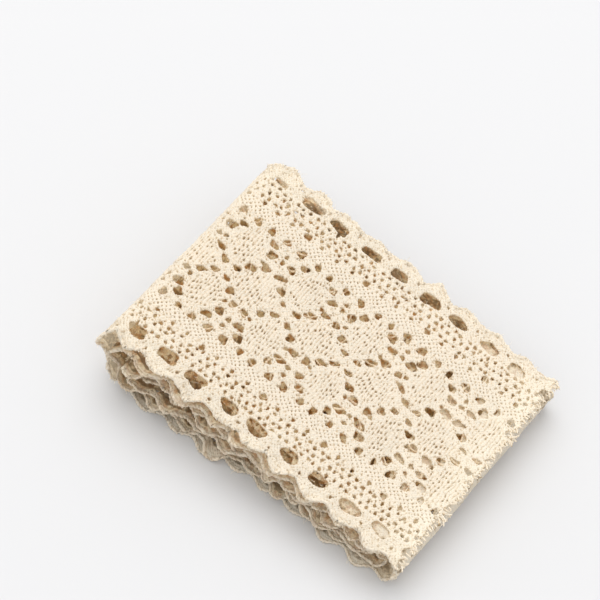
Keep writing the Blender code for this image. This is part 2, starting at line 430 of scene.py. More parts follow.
def place_on_folds(s, y, off):
    """Carry points of the flat lace, off its middle surface, to their places in the bundle."""
    x, height, push = (np.interp(s, ALONG, LINE[:, column]) for column in range(3))
    x = x - nested(s)
    reach = LACE_THICKNESS / 4.0
    dx = np.interp(s + reach, ALONG, LINE[:, 0]) - np.interp(s - reach, ALONG, LINE[:, 0])
    dz = np.interp(s + reach, ALONG, LINE[:, 1]) - np.interp(s - reach, ALONG, LINE[:, 1])
    size = np.hypot(dx, dz)
    dx, dz = dx / size, dz / size
    sag = np.where(s > INNER_START, INNER_SAG * smooth_step((SAG_START - x) / SAG_LENGTH), 0.0)
    height = height * (1.0 - sag) + closer(s)
    share = smooth_step(height / LEVEL_PITCH)
    at_edge = smooth_step((np.abs(y) - HALF_WIDTH + DROOP_WIDTH) / DROOP_WIDTH)
    wave = EDGE_RIPPLE * np.cos(2.0 * math.pi * (s - FIRST_BEADING) / BEADING_PITCH)
    hang = share * at_edge * (wave + looseness(s, LOBE_DROOP) * lobe_values(LOBE_HANG, s, y))
    hang = hang + share * at_edge * CRUMPLE * noise(s, y, CRUMPLE_LENGTH, SEED + 14)
    hang = hang + SLIPPED_DOWN * slipped(s, y)
    off = off * upper_side(s) + share * PUCKER * noise(s, y, PUCKER_LENGTH, SEED + 1)
    x = x + dz * (off + hang)
    height = height - dx * off - hang * np.abs(dx)
    wander = share * looseness(s, WANDER) * noise(s, 0.0 * y, WANDER_LENGTH, SEED + 20)
    crumple = noise(s, np.sign(y) * EDGE_ROW, CRUMPLE_LENGTH, SEED + 15)
    wander = wander + share * at_edge * CRUMPLE * crumple
    across = y + push + wander - SLIPPED_OUT * slipped(s, y) + tucked(x, y, height)
    return np.stack([x, across, np.maximum(LACE_THICKNESS / 2.0 + lift(x, y, height), 0.0)], axis=-1)


def all_gaps():
    """Every gap of the lace as rows of s, y, half length, half width, tilt, roundness and rim waves."""
    rows = []
    chance = np.random.default_rng(SEED + 2)
    turn_start, turn_end = RUN_SPANS[0][1], RUN_SPANS[1][0]

    def add(s, y, gap, slope):
        loose = NET_STRAY if gap is NET_GAP else 1.0
        size = 1.0 + loose * STRAY_SIZE * chance.uniform(-1.0, 1.0, 2)
        tilt = math.radians(gap.tilt * slope + STRAY_TILT * chance.uniform(-1.0, 1.0))
        slot = gap.length > SLOT_LENGTH
        steady = SLOT_STEADY if slot else 1.0
        if slot:
            size = 1.0 + (size - 1.0) * SLOT_STEADY
            tilt *= SLOT_TILT
        if turn_start < s < turn_end:
            lower = int(s > (1.0 - TURN_LOWER) * turn_start + TURN_LOWER * turn_end)
            size = size * (TURN_SHRINK[lower] if y > 0.0 or lower else TURN_NEAR)
        elif slot and y > 0.0 and 0.0 < turn_start - s < BEADING_PITCH / 2.0:
            size = size * LAST_SLOT
            s, y = s - LAST_SLOT_SHIFT, y - LAST_SLOT_SHIFT
        shift = loose * STRAY * chance.normal(0.0, 1.0, 2)
        starts = chance.uniform(0.0, 2.0 * math.pi, 3)
        if slot and abs(s - INNER_START) < CLOSED_SLOTS:
            return
        rows.append((s + shift[0], y + shift[1], gap.length * MM * size[0] / 2.0,
                     gap.width * MM * size[1] / 2.0, tilt, gap.roundness, steady, *starts))

    repeats = int(FLAT_LENGTH / REPEAT) + 2
    for repeat in range(-1, repeats):
        column = FIRST_DIAMOND + repeat * REPEAT
        for gap in CHART:
            ways = (1.0,) if gap.along in (0.0, 1.0) else (1.0, -1.0)
            for way in ways:
                for side in (1.0, -1.0):
                    s = column + way * gap.along * BEADING_PITCH
                    add(s, side * gap.across * BEADING_PITCH, gap, way * side)
        for row, across in enumerate(NET_ROWS):
            for step in range(NET_PER_REPEAT):
                s = column + (step + 0.5 * (row % 2 == 0)) * NET_STEP
                for side in (1.0, -1.0):
                    add(s, side * across * BEADING_PITCH, NET_GAP, 1.0)
    return np.array(rows)


GAPS = all_gaps()

# A gap's grid points reach past its rim by this share, and within this share of its radius
# the distance to the rim is taken as even
GAP_MARGIN = 1.2
GAP_CORE = 0.3


def gap_distances(s_lines, y_lines, reach, chosen):
    """Distance from each grid point to the nearest chosen gap's rim, up to reach, negative inside."""
    nearest = np.full((len(s_lines), len(y_lines)), reach)
    for s, y, half_length, half_width, tilt, roundness, steady, *starts in chosen:
        margin = GAP_MARGIN * max(half_length, half_width) + reach
        first, last = np.searchsorted(s_lines, (s - margin, s + margin))
        low, high = np.searchsorted(y_lines, (y - margin, y + margin))
        if first == last or low == high:
            continue
        right = s_lines[first:last, None] - s
        up = y_lines[None, low:high] - y
        across = right * math.cos(tilt) + up * math.sin(tilt)
        along = up * math.cos(tilt) - right * math.sin(tilt)
        turn = np.arctan2(along / half_width, across / half_length)
        rim = 1.0 + steady * sum(size * np.cos((order + 2) * turn + start)
                                 for order, (size, start) in enumerate(zip(RIM_WAVES, starts)))
        radius = (np.abs(across / half_length) ** roundness + np.abs(along / half_width) ** roundness)
        radius = np.maximum(radius ** (1.0 / roundness) / rim, 1e-6)
        distance = np.hypot(across, along) * (1.0 - 1.0 / radius)
        distance = np.where(radius < GAP_CORE, -min(half_length, half_width) * (1.0 - GAP_CORE), distance)
        window = nearest[first:last, low:high]
        np.minimum(window, distance, out=window)
    return nearest


def cut_distance(s, y):
    """Distance inside the two uneven cut ends."""
    jag = CUT_JAG * (CUT_MEAN + waves(0.0 * s, y, CUT_WAVES))
    return np.minimum(s - jag, FLAT_LENGTH - s - jag)


def crossing(one, two):
    """Height of two families of threads, with ridges at whole numbers, that take turns on top."""
    first = 0.5 + 0.5 * np.cos(2.0 * math.pi * one)
    second = 0.5 + 0.5 * np.cos(2.0 * math.pi * two)
    turns = (np.round(one) + np.round(two)) % 2.0
    over, under = np.maximum(first, UNDER_THREAD * second), np.maximum(second, UNDER_THREAD * first)
    return np.where(turns > 0.5, over, under)


def worked(relief, ridges, scattered):
    """Relief of a region from its ridges and its scattered pits."""
    return relief.base + relief.ridges * ridges - relief.pits * scattered


def leaf_cloth(s, y, scattered):
    """Relief of the solid leaves: ribs across the band with slits in the furrows between them."""
    rib = s / RIB_PITCH
    over = np.cos(2.0 * math.pi * y / WEFT_PITCH + math.pi * np.round(rib))
    ribs = (0.5 + 0.5 * np.cos(2.0 * math.pi * rib)) ** RIB_SHARPNESS
    ribs = ribs * (1.0 - OVER_UNDER + OVER_UNDER * over)
    furrow = np.floor(rib)
    row = y / PINHOLE_LENGTH + PINHOLE_STARTS[furrow.astype(int) % PINHOLE_ROWS]
    row = row + waves(s, y, (PINHOLE_STRAY,))
    beside = (rib - furrow - 0.5) * RIB_PITCH / PINHOLE_RADII[0]
    beyond = (row - np.round(row)) * PINHOLE_LENGTH / PINHOLE_RADII[1]
    strength = np.clip(PINHOLE_MEAN + waves(s, y, (PINHOLE_PATCHES,)), 0.0, PINHOLE_PATCHES.share)
    pinholes = strength * np.exp(-beside ** 2 - beyond ** 2)
    return worked(LEAF_RELIEF, ribs, scattered) - PINHOLE_DEPTH * pinholes


def trellis_relief(s, y, scattered):
    """Relief of the trellis: leaves in diamonds on a ground of half stitch."""
    across = np.abs(y) / BEADING_PITCH
    column = (s - FIRST_DIAMOND) / REPEAT
    along = np.abs(column - np.round(column)) * 2.0
    middle = 1.0 - along / MIDDLE_LEAF[0] - across / MIDDLE_LEAF[1]
    outer = 1.0 - (1.0 - along) / OUTER_LEAF[0] - np.abs(across - OUTER_LEAF_ACROSS) / OUTER_LEAF[1]
    leaf = smooth_step(np.maximum(middle, outer) * LEAF_EDGE[0] + LEAF_EDGE[1])
    lean = HALF_STITCH_SLANT * np.abs(y)
    ground = crossing((s + lean) / HALF_STITCH, (s - lean) / HALF_STITCH)
    return leaf * leaf_cloth(s, y, scattered) + (1.0 - leaf) * worked(STITCH_RELIEF, ground, scattered)


def strip_relief(s, y, scattered):
    """Relief of the basket strip between trellis and net."""
    weave = np.cos(2.0 * math.pi * s / STRIP_WEAVE[0]) * np.cos(2.0 * math.pi * y / STRIP_WEAVE[1])
    holes = np.clip(-weave - 0.5, 0.0, 1.0) / 0.5
    return worked(STRIP_RELIEF, weave, scattered) - STRIP_HOLES * holes


def net_relief(s, y, scattered):
    """Relief of the net, whose threads pass between its rows of gaps."""
    step = (s - FIRST_DIAMOND) / NET_STEP
    rank = (np.abs(y) / BEADING_PITCH - NET_ROWS[1]) / (NET_ROWS[1] - NET_ROWS[0]) / 2.0
    return worked(STITCH_RELIEF, crossing(2.0 * (step + rank) + 0.5, 2.0 * (step - rank) + 0.5), scattered)


def border_relief(s, y, scattered):
    """Relief of the border: slanting stitches, mixed with threads that follow the scallops."""
    slant = BORDER_SLANT * np.abs(y)
    stitch = BORDER_STITCH * np.where(s < TOP_END, 1.0, BORDER_COARSER)
    knit = crossing((s + slant) / stitch, (s - slant) / stitch)
    inside = half_width_at(s, y) - np.abs(y)
    place = inside / EDGE_LINE + waves(s, y, (EDGE_LINE_STRAY,))
    follow = looseness(s, EDGE_LINES) * (1.0 - smooth_step((inside - EDGE_LINES_END) / EDGE_LINE))
    knit = knit * (1.0 - follow) + (0.5 + 0.5 * np.cos(2.0 * math.pi * place)) * follow
    return worked(BORDER_RELIEF, knit, scattered)


def thread_relief(s, y):
    """Height of the threads from about -1 in a pinhole to 1 on a ridge, by the region of the pattern."""
    s, y = s + waves(s, y, WARP_ALONG), y + waves(s, y, WARP_ACROSS)
    scattered = pits(s, y, PIT_SPACING, PIT_RADIUS, SEED + 11)
    across = np.abs(y) / BEADING_PITCH
    trellis, net = trellis_relief(s, y, scattered), net_relief(s, y, scattered)
    relief = np.where(across < STRIP[0] + STRIP_LAP, trellis, net)
    strip = smooth_step((across - STRIP[0]) * STRIP_EDGE + 1.0)
    strip = strip * smooth_step((STRIP[1] - across) * STRIP_EDGE + 1.0)
    relief = relief * (1.0 - strip) + strip_relief(s, y, scattered) * strip
    border = smooth_step((across - BORDER_STARTS) * BORDER_EDGE + 1.0)
    return relief * (1.0 - border) + border_relief(s, y, scattered) * border


# How far from a rim its distance is worked out, how far along gaps count, how near a rim
# grid points move onto it, in steps of the grid, and the least slope for that move
RIM_REACH = 1.6 * MM
GAPS_NEAR = 6.0 * MM
SNAP = 0.6
LEAST_SLOPE = 0.2


def lace_grid(s_lines, y_lines):
    """Points of the flat lace with their height off it, which to keep, and how light they are painted, with
    painted shade at the rims, in furrows and in pits.
    """
    s, y = np.meshgrid(s_lines, y_lines, indexing="ij")
    near = GAPS[(s_lines[0] - GAPS_NEAR < GAPS[:, 0]) & (GAPS[:, 0] < s_lines[-1] + GAPS_NEAR)]
    distance = gap_distances(s_lines, y_lines, RIM_REACH, near)
    slope = np.hypot(1.0, np.gradient(half_width_at(s_lines, s_lines), s_lines))[:, None]
    edge_distance = (half_width_at(s, y) - np.abs(y)) / slope
    distance = np.minimum(distance, np.minimum(edge_distance, cut_distance(s, y)))

    step = np.minimum(np.gradient(s_lines)[:, None], np.gradient(y_lines)[None, :])
    slope_s, slope_y = np.gradient(distance, s_lines, y_lines)
    steepness = np.maximum(slope_s ** 2 + slope_y ** 2, LEAST_SLOPE)
    rim = np.abs(distance) < SNAP * step
    s = np.where(rim, s - distance * slope_s / steepness, s)
    y = np.where(rim, y - distance * slope_y / steepness, y)
    kept = distance > -SNAP * step

    inside = np.clip(distance / ROUND_OVER, 0.0, 1.0)
    dome = np.sqrt(1.0 - (1.0 - inside) ** 2)
    threads = thread_relief(s, y)
    fuzz = waves(s, y, FUZZ_WAVES)
    off = dome * (THREAD_RELIEF * (threads - THREAD_LEVEL) + FUZZ_RELIEF * fuzz)
    off = RIM + (CROWN - RIM) * dome + off
    # Painted shade in the colour: darker in pinholes, pits and furrows and towards the rims, lighter on
    # ridges and where the fuzz is raised
    light = 1.0 - RIDGE_PAINTED_LIGHT + RIDGE_PAINTED_LIGHT * np.clip(threads, -1.0, 1.0)
    light = (1.0 - DOME_PAINTED_LIGHT + DOME_PAINTED_LIGHT * dome) * light + FUZZ_PAINTED_LIGHT * fuzz
    return s, y, off, kept, light


def wall_painted_light_and_mottle(s, y):
    """How much lighter or darker the lace is painted on the runs under the top one: painted light that grows
    towards the right end, painted shade in the crevices in from the edge, and mottling.
    """
    under = smooth_step((s - RUN_SPANS[0][1]) / (2.0 * FLIP_LENGTH))
    inside = half_width_at(s, y) - np.abs(y)
    # Painted shade in the crevices under the rim of the run above
    painted_crevice_shade = smooth_step((inside - CREVICE_PAINTED_SHADE.starts) / CREVICE_PAINTED_SHADE.rise)
    painted_crevice_shade = painted_crevice_shade * (1.0 - smooth_step((inside - CREVICE_PAINTED_SHADE.ends) / CREVICE_PAINTED_SHADE.fall))
    x = np.interp(s, ALONG, LINE[:, 0])
    left, right = WALL_PAINTED_LIGHT
    painted_lift = left + (right - left) * smooth_step(0.5 + x / (2.0 * BUNDLE_HALF_LENGTH))
    mottled = WALL_MOTTLE * waves(s, y, MOTTLE_WAVES)
    return under * (painted_lift + mottled - CREVICE_PAINTED_SHADE_DEPTH * painted_crevice_shade * (1.0 - slipped(s, y)))


def cover(s, y):
    """How much painted shade the runs above put on a place by covering it: 0 in the open and 1 deep in the
    bundle.
    """
    first, full = COVER_SHADE_START
    painted_cover_shade = first * smooth_step((s - INNER_START) / FLIP_LENGTH)
    painted_cover_shade = painted_cover_shade + (1.0 - first) * smooth_step((s - INNER_START) / full)
    edge = smooth_step((np.abs(y) - half_width_at(s, y)) / COVER_SHADE_ENDS + 1.0)
    return painted_cover_shade * (1.0 - (1.0 - COVER_SHADE_AT_EDGE) * edge) * (1.0 - (1.0 - COVER_SHADE_SLIPPED) * slipped(s, y))


def make_mesh(name, points, faces):
    """A smooth mesh from arrays of points and of four-cornered faces."""
    mesh = bpy.data.meshes.new(name)
    mesh.vertices.add(len(points))
    mesh.vertices.foreach_set("co", points.astype(np.float32).ravel())
    mesh.loops.add(faces.size)
    mesh.loops.foreach_set("vertex_index", faces.astype(np.int32).ravel())
    mesh.polygons.add(len(faces))
    mesh.polygons.foreach_set("loop_start", np.arange(0, faces.size, faces.shape[1], dtype=np.int32))
    mesh.update(calc_edges=True)
    mesh.validate()
    mesh.shade_smooth()
    return mesh


def add_object(name, mesh, material):
    """Link a mesh to the scene as a piece of the lace."""
    mesh.materials.append(material)
    piece = bpy.data.objects.new(name, mesh)
    bpy.context.collection.objects.link(piece)
    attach(piece, "root")
    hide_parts("lace_trim")
    return piece


def store(mesh, name, values):
    """Keep a value or a vector for each point of a mesh, for its material."""
    if values.ndim == 1:
        layer = mesh.attributes.new(name, "FLOAT", "POINT")
        layer.data.foreach_set("value", values.astype(np.float32))
    else:
        layer = mesh.attributes.new(name, "FLOAT_VECTOR", "POINT")
        layer.data.foreach_set("vector", values.astype(np.float32).ravel())


def lace_piece(name, s_lines, y_lines, material):
    """One stretch of the lace as a fine sheet of threads with its gaps open."""
    s, y, off, kept, light = lace_grid(s_lines, y_lines)
    index = np.arange(s.size).reshape(s.shape)
    corners = (index[:-1, :-1], index[:-1, 1:], index[1:, 1:], index[1:, :-1])
    whole = kept[:-1, :-1] & kept[:-1, 1:] & kept[1:, 1:] & kept[1:, :-1]
    faces = np.stack([corner[whole] for corner in corners], axis=-1)
    used, faces = np.unique(faces, return_inverse=True)
    faces = faces.reshape(-1, 4)
    flat_s, flat_y = s.ravel()[used], y.ravel()[used]
    mesh = make_mesh(name, place_on_folds(flat_s, flat_y, off.ravel()[used]), faces)
    store(mesh, "flat_place", np.stack([flat_s, flat_y, 0.0 * flat_s], axis=-1))
    # Painted light and shade for the material: the threads' painted shade plus the painted light and shade
    # of the runs under the top one
    store(mesh, "light", light.ravel()[used] + wall_painted_light_and_mottle(flat_s, flat_y))
    # Painted shade under cover, warm and dark deep in the bundle
    store(mesh, "painted_cover_shade", cover(flat_s, flat_y))
    piece = add_object(name, mesh, material)


# Threads are tubes. Their corners are set out from this direction, and a twisted thread's plies stand out by
# a share of its radius and are painted lighter, a painted highlight on them.
TUBE_ASIDE = (0.21, 0.93, 0.30)
PLY_DEPTH = 0.24
PLY_PAINTED_LIGHT = 0.25


def tubes(name, paths, radii, sides, flat, light, material, twist=0.0, painted_cover_shade=0.0):
    """Threads as one mesh: paths is threads by points by three, radii and flat have a value a point."""
    threads, count = paths.shape[:2]
    along = np.gradient(paths, axis=1)
    along = along / np.linalg.norm(along, axis=2, keepdims=True)
    aside = np.cross(along, np.array(TUBE_ASIDE))
    aside = aside / np.linalg.norm(aside, axis=2, keepdims=True)
    third = np.cross(along, aside)
    angles = 2.0 * math.pi * np.arange(sides) / sides
    ring = aside[:, :, None, :] * np.cos(angles)[:, None] + third[:, :, None, :] * np.sin(angles)[:, None]
    plies = np.cos(2.0 * angles - twist * np.arange(count)[:, None]) if twist else 0.0 * angles
    points = paths[:, :, None, :] + ring * (radii[:, :, None] * (1.0 + PLY_DEPTH * plies))[..., None]
    points[..., 2] = np.maximum(points[..., 2], 0.0)
    index = np.arange(threads * count * sides).reshape(threads, count, sides)
    turned = np.roll(index, -1, axis=2)
    corners = (index[:, :-1], turned[:, :-1], turned[:, 1:], index[:, 1:])
    mesh = make_mesh(name, points.reshape(-1, 3), np.stack(corners, axis=-1).reshape(-1, 4))
    store(mesh, "flat_place", np.repeat(flat, sides, axis=1).reshape(-1, 3))
    # Painted highlight on the plies
    store(mesh, "light", (np.zeros(points.shape[:3]) + light + PLY_PAINTED_LIGHT * plies).ravel())
    store(mesh, "painted_cover_shade", (np.zeros(points.shape[:3]) + painted_cover_shade).ravel())
    add_object(name, mesh, material)


# Materials

# Colours of the cotton from painted shade in pits and furrows up to its own colour on ridges, of deep and
# pale patches of painted shade under cover, and of specks, each with its place on a ramp
PIT_PAINTED_SHADE_COLOUR = (0.27, 0.205, 0.135)
FURROW_PAINTED_SHADE_COLOUR = (0.64, 0.545, 0.41)
HALF_PAINTED_SHADE_COLOUR = (0.90, 0.805, 0.645)
THREAD_COLOUR = (0.985, 0.925, 0.795)
PAINTED_SHADE_STOPS = ((0.30, PIT_PAINTED_SHADE_COLOUR), (0.62, FURROW_PAINTED_SHADE_COLOUR), (0.86, HALF_PAINTED_SHADE_COLOUR), (1.0, THREAD_COLOUR))
COVER_PAINTED_SHADE_STOPS = ((0.40, (0.59, 0.345, 0.17)), (0.56, (1.0, 0.94, 0.80)))
SPECK_STOPS = ((0.30, (0.60, 0.53, 0.42)), (0.44, (1.0, 1.0, 1.0)))
THROUGH_COLOUR = (0.99, 0.83, 0.58)
SHINE_THROUGH = 0.32

# Scale and detail of each texture, and how much the mottling counts beside the light
MOTTLE_TEXTURE = (1250.0, 6.0)
MOTTLE_ROUGHNESS = 0.65
MOTTLE_SHARE = 0.50
PATCH_TEXTURE = (520.0, 3.0)
SPECK_TEXTURE = (2000.0, 3.0)
FIBRE_TEXTURE = (4200.0, 3.0)
TWIST_SCALE = 700.0
TWIST_DISTORTION = 3.0
BUMP_STRENGTH = 0.7
BUMP_DISTANCE = 0.12 * MM


def attribute(nodes, name):
    """A value stored for each point of a mesh."""
    node = nodes.new("ShaderNodeAttribute")
    node.attribute_name = name
    return node


def noise_texture(nodes, links, place, scale, detail):
    """A noise texture laid on the flat lace."""
    texture = nodes.new("ShaderNodeTexNoise")
    texture.inputs["Scale"].default_value = scale
    texture.inputs["Detail"].default_value = detail
    links.new(place.outputs["Vector"], texture.inputs["Vector"])
    return texture


def colour_ramp(nodes, links, value, stops):
    """The colours for a value, by stops of a place and a colour, lowest first."""
    ramp = nodes.new("ShaderNodeValToRGB")
    elements = ramp.color_ramp.elements
    for element, (place, colour) in zip(elements, (stops[0], stops[-1])):
        element.position = place
        element.color = (*colour, 1.0)
    for place, colour in stops[1:-1]:
        elements.new(place).color = (*colour, 1.0)
    links.new(value, ramp.inputs["Fac"])
    return ramp.outputs["Color"]


def multiply_node(nodes, links, one, two):
    """A node that multiplies two colours."""
    mix = nodes.new("ShaderNodeMix")
    mix.data_type = "RGBA"
    mix.blend_type = "MULTIPLY"
    mix.inputs["Factor"].default_value = 1.0
    links.new(one, mix.inputs["A"])
    links.new(two, mix.inputs["B"])
    return mix


def thread_bump(nodes, links, place):
    """The normal of twisted, slightly fuzzy thread."""
    twist = nodes.new("ShaderNodeTexWave")
    twist.bands_direction = "DIAGONAL"
    twist.inputs["Scale"].default_value = TWIST_SCALE
    twist.inputs["Distortion"].default_value = TWIST_DISTORTION
    twist.inputs["Detail"].default_value = 2.0
    links.new(place.outputs["Vector"], twist.inputs["Vector"])
    fibres = noise_texture(nodes, links, place, *FIBRE_TEXTURE)
    height = nodes.new("ShaderNodeMath")
    height.operation = "ADD"
    links.new(twist.outputs["Fac"], height.inputs[0])
    links.new(fibres.outputs["Fac"], height.inputs[1])
    bump = nodes.new("ShaderNodeBump")
    bump.inputs["Strength"].default_value = BUMP_STRENGTH
    bump.inputs["Distance"].default_value = BUMP_DISTANCE
    links.new(height.outputs["Value"], bump.inputs["Height"])
    return bump.outputs["Normal"]


def cotton_material(name):
    """Unbleached cotton thread, twisted and a little fuzzy, with painted shade that makes it warm and dark
    in the furrows and under cover.
    """
    material = bpy.data.materials.new(name)
    material.use_nodes = True
    nodes, links = material.node_tree.nodes, material.node_tree.links
    shader = nodes["Principled BSDF"]
    shader.inputs["Roughness"].default_value = 0.92
    shader.inputs["Sheen Weight"].default_value = 0.15
    shader.inputs["Sheen Roughness"].default_value = 0.6
    shader.inputs["Specular IOR Level"].default_value = 0.2
    place, light, painted_cover_shade = (attribute(nodes, layer) for layer in ("flat_place", "light", "painted_cover_shade"))

    mottle = noise_texture(nodes, links, place, *MOTTLE_TEXTURE)
    mottle.inputs["Roughness"].default_value = MOTTLE_ROUGHNESS
    lit = nodes.new("ShaderNodeMath")
    lit.operation = "MULTIPLY_ADD"
    lit.inputs[1].default_value = MOTTLE_SHARE
    links.new(mottle.outputs["Fac"], lit.inputs[0])
    links.new(light.outputs["Fac"], lit.inputs[2])
    # Painted shade: the light value, with mottling, picks colours from painted pit and furrow shade up to
    # the thread's own colour
    colour = colour_ramp(nodes, links, lit.outputs["Value"], PAINTED_SHADE_STOPS)

    # Painted shade under cover: the colour is multiplied by warm dark and pale patches where the runs above
    # cover it
    patches = noise_texture(nodes, links, place, *PATCH_TEXTURE)
    cover_shade_tints = colour_ramp(nodes, links, patches.outputs["Fac"], COVER_PAINTED_SHADE_STOPS)
    warm = multiply_node(nodes, links, colour, cover_shade_tints)
    links.new(painted_cover_shade.outputs["Fac"], warm.inputs["Factor"])
    grain = noise_texture(nodes, links, place, *SPECK_TEXTURE)
    specks = colour_ramp(nodes, links, grain.outputs["Fac"], SPECK_STOPS)
    speckled = multiply_node(nodes, links, warm.outputs["Result"], specks)
    links.new(speckled.outputs["Result"], shader.inputs["Base Color"])
    links.new(thread_bump(nodes, links, place), shader.inputs["Normal"])

    through = nodes.new("ShaderNodeBsdfTranslucent")
    through.inputs["Color"].default_value = (*THROUGH_COLOUR, 1.0)
    both = nodes.new("ShaderNodeMixShader")
    both.inputs["Fac"].default_value = SHINE_THROUGH
    links.new(shader.outputs["BSDF"], both.inputs[1])
    links.new(through.outputs["BSDF"], both.inputs[2])
    links.new(both.outputs["Shader"], nodes["Material Output"].inputs["Surface"])
    return material


def plain_material(name, colour, roughness):
    """One flat colour, for the stage."""
    material = bpy.data.materials.new(name)
    material.use_nodes = True
    shader = material.node_tree.nodes["Principled BSDF"]
    shader.inputs["Base Color"].default_value = (*colour, 1.0)
    shader.inputs["Roughness"].default_value = roughness
    return material


# The lace, in stretches along the band: how finely each is drawn along s, and across it
# in its middle and near its edges

Stretch = namedtuple("Stretch", "name start end pieces step middle_step edge_step")
STRETCHES = (
    Stretch("top", 0.0, TOP_END, 3, 0.215, 0.215, 0.215),
    Stretch("under", TOP_END, RUN_SPANS[2][0], 1, 0.48, 0.85, 0.36),
    Stretch("second", RUN_SPANS[2][0], RUN_SPANS[3][0], 1, 0.42, 0.58, 0.34),
    Stretch("inner", RUN_SPANS[3][0], FLAT_LENGTH, 3, 0.45, 1.00, 0.33),
)
EDGE_BAND = 33.0 * MM
PAST_EDGE = 1.4 * MM


def lines_between(first, last, step):
    """Evenly spaced grid lines from first to last."""
    return np.linspace(first, last, max(2, round((last - first) / step) + 1))


def build_runs(cotton):
    """The whole band in stretches, finest along the top run, where it shows."""
    for stretch in STRETCHES:
        edge = lines_between(EDGE_BAND, HALF_WIDTH + PAST_EDGE, stretch.edge_step * MM)
        middle = lines_between(-EDGE_BAND, EDGE_BAND, stretch.middle_step * MM)[1:-1]
        y_lines = np.concatenate([-edge[::-1], middle, edge])
        cuts = np.linspace(stretch.start, stretch.end, stretch.pieces + 1)
        for part in range(stretch.pieces):
            s_lines = lines_between(cuts[part], cuts[part + 1], stretch.step * MM)
            lace_piece(f"lace_{stretch.name}_{part + 1}", s_lines, y_lines, cotton)


SIDES = (("near", -1.0), ("far", 1.0))

# The cord in each edge: its painted light, and its painted shade of cover, are for the top run and for what
# is under it, where it is painted darker
CORD_RADIUS = 0.50 * MM
CORD_UNEVEN = Wave(0.45, 1.3 * MM, 12)
CORD_INSET = 0.30 * MM
CORD_STEP = 0.42 * MM
CORD_SIDES = 8
CORD_TURN = 2.0
CORD_PAINTED_LIGHT = (0.84, 0.72)
CORD_MOTTLE = Wave(0.26, 1.7 * MM, 24)
CORD_COVER_SHADE = 0.20


def build_cords(cotton):
    """The thick twisted thread along each scalloped edge."""
    s = lines_between(CORD_STEP, FLAT_LENGTH - CORD_STEP, CORD_STEP)
    painted_cover_shade = CORD_COVER_SHADE * smooth_step((s - INNER_START) / FLIP_LENGTH)[None, :, None]
    for name, side in SIDES:
        y = side * (half_width_at(s, side * np.ones_like(s)) - CORD_INSET)
        path = place_on_folds(s, y, 0.0 * s)
        radii = CORD_RADIUS * (1.0 + waves(s, y, (CORD_UNEVEN,)))
        light = (looseness(s, CORD_PAINTED_LIGHT) + waves(s, y, (CORD_MOTTLE,)))[None, :, None]
        flat = np.stack([s, y, 0.0 * s], axis=-1)
        tubes(f"edge_cord_{name}", path[None], radii[None], CORD_SIDES, flat[None], light, cotton,
              twist=CORD_TURN, painted_cover_shade=painted_cover_shade)


# Stitches over each edge and its cord: their way round it, as how far out and how far off
# the lace, and the ranges of what differs from one to the next
HEM_SPACING = 1.15 * MM
HEM_STRAY = 0.28 * MM
HEM_ENDS = 1.5 * MM
HEM_RADIUS = 0.24 * MM
HEM_ROUND = ((-1.4, 0.10), (-0.6, 0.46), (0.14, 0.28), (0.14, -0.26), (-0.5, -0.42), (-1.2, -0.05))
HEM_TAPER = (0.7, 1.0, 1.1, 1.1, 1.0, 0.7)
HEM_SLANT = (0.30, 0.55)
HEM_SWEEP = 1.6 * MM
HEM_REACH = (0.45, 1.35)
HEM_LOOSE = (0.75, 1.30)
HEM_THICKNESS = (0.65, 1.25)
HEM_LIGHT = (0.70, 1.00)
# Painted shade of cover on the stitches under the top run
HEM_COVER_SHADE = 0.25
THREAD_SIDES = 4


def build_hems(cotton):
    """Short threads laid over each edge and its cord, slanting, each in its own way."""
    for name, side in SIDES:
        chance = np.random.default_rng(SEED + 25 + int(side))
        start = np.arange(HEM_ENDS, FLAT_LENGTH - HEM_ENDS, HEM_SPACING)
        count = len(start)
        start = start + chance.normal(0.0, HEM_STRAY, count)
        slant = chance.normal(*HEM_SLANT, count)
        reach = chance.uniform(*HEM_REACH, count)
        loose = chance.uniform(*HEM_LOOSE, count)
        paths, flats = [], []
        for step, (outward, off) in enumerate(HEM_ROUND):
            s = start + slant * (step / (len(HEM_ROUND) - 1) - 0.5) * HEM_SWEEP
            out = outward * (loose if outward > 0.0 else reach) * MM
            y = side * (half_width_at(s, side * np.ones_like(s)) + out)
            paths.append(place_on_folds(s, y, off * loose * MM))
            flats.append(np.stack([s, y, 0.0 * s], axis=-1))
        radii = HEM_RADIUS * chance.uniform(*HEM_THICKNESS, (count, 1)) * np.array(HEM_TAPER)
        light = chance.uniform(*HEM_LIGHT, (count, 1, 1))
        painted_cover_shade = HEM_COVER_SHADE * smooth_step((start - INNER_START) / FLIP_LENGTH)[:, None, None]
        tubes(f"edge_stitches_{name}", np.stack(paths, axis=1), radii, THREAD_SIDES, np.stack(flats, axis=1),
              light, cotton, painted_cover_shade=painted_cover_shade)


# Loose threads are this far apart in the textures, so that no two look alike
TEXTURE_SPREAD = 900.0


def strands(name, root, heading, bend, reach, radius, taper, light, cotton):
    """Loose threads from their roots: each has a heading, bend, reach and radius, and all have one taper."""
    heading = heading / np.linalg.norm(heading, axis=1, keepdims=True)
    way = np.linspace(0.0, 1.0, len(taper))[None, :, None]
    reach = reach[:, None, None]
    paths = root[:, None, :] + reach * (heading[:, None, :] * way + bend[:, None, :] * way ** 2)
    radii = radius[:, None] * np.array(taper)
    flat = reach * way * np.array((1.0, 0.0, 0.0)) + TEXTURE_SPREAD * root[:, None, :]
    tubes(name, paths, radii, THREAD_SIDES, flat, light, cotton)


